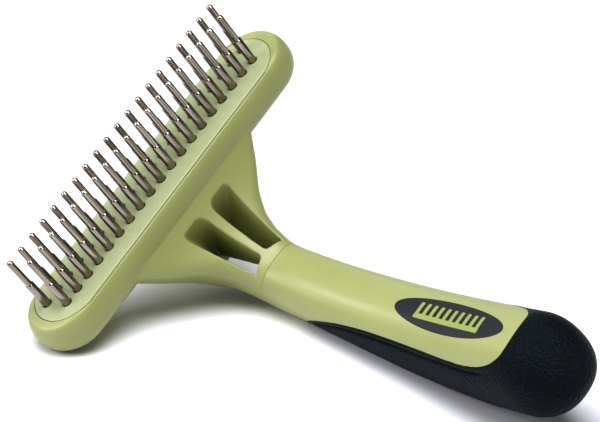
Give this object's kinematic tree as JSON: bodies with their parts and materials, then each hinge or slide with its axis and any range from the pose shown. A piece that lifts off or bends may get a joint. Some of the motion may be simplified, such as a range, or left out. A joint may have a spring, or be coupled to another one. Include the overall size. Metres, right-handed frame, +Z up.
{
  "type": "deshedding tool",
  "caption": "Undercoat rake for a dog: staggered rows of stepped steel pins on a round-ended bar, with a sloped windowed yoke and a moulded handle with a rubber grip.",
  "frame": {"origin": "on the table, under the middle of the tool's outline seen from above", "axes": "+Z up from the table; +Y from the handle's butt towards the pin bar; +X across, towards the raised end of the bar"},
  "size_m": [0.1036, 0.1614, 0.0798],
  "materials": {
    "green_plastic": "satin moulded plastic, olive green",
    "plate_plastic": "fine satin moulded plastic, a paler green",
    "liner_plastic": "plain moulded plastic, out of sight",
    "grip_rubber": "black soft grip with a fine pebbled grain",
    "badge_plastic": "satin charcoal inlay",
    "pin_steel": "polished stainless steel with fine turning marks"
  },
  "bodies": {
    "root": {"head_frame": "green_plastic", "pin_plate": "plate_plastic", "backing_bar": "liner_plastic", "handle_core": "green_plastic", "rubber_grip": "grip_rubber", "oval_badge": "badge_plastic", "back_pin_01": "pin_steel", "back_pin_02": "pin_steel", "back_pin_03": "pin_steel", "back_pin_04": "pin_steel", "back_pin_05": "pin_steel", "back_pin_06": "pin_steel", "back_pin_07": "pin_steel", "back_pin_08": "pin_steel", "back_pin_09": "pin_steel", "back_pin_10": "pin_steel", "back_pin_11": "pin_steel", "back_pin_12": "pin_steel", "back_pin_13": "pin_steel", "back_pin_14": "pin_steel", "back_pin_15": "pin_steel", "back_pin_16": "pin_steel", "back_pin_17": "pin_steel", "back_pin_18": "pin_steel", "back_pin_19": "pin_steel", "back_pin_20": "pin_steel", "front_pin_01": "pin_steel", "front_pin_02": "pin_steel", "front_pin_03": "pin_steel", "front_pin_04": "pin_steel", "front_pin_05": "pin_steel", "front_pin_06": "pin_steel", "front_pin_07": "pin_steel", "front_pin_08": "pin_steel", "front_pin_09": "pin_steel", "front_pin_10": "pin_steel", "front_pin_11": "pin_steel", "front_pin_12": "pin_steel", "front_pin_13": "pin_steel", "front_pin_14": "pin_steel", "front_pin_15": "pin_steel", "front_pin_16": "pin_steel", "front_pin_17": "pin_steel", "front_pin_18": "pin_steel", "front_pin_19": "pin_steel"}
  },
  "joints": []
}
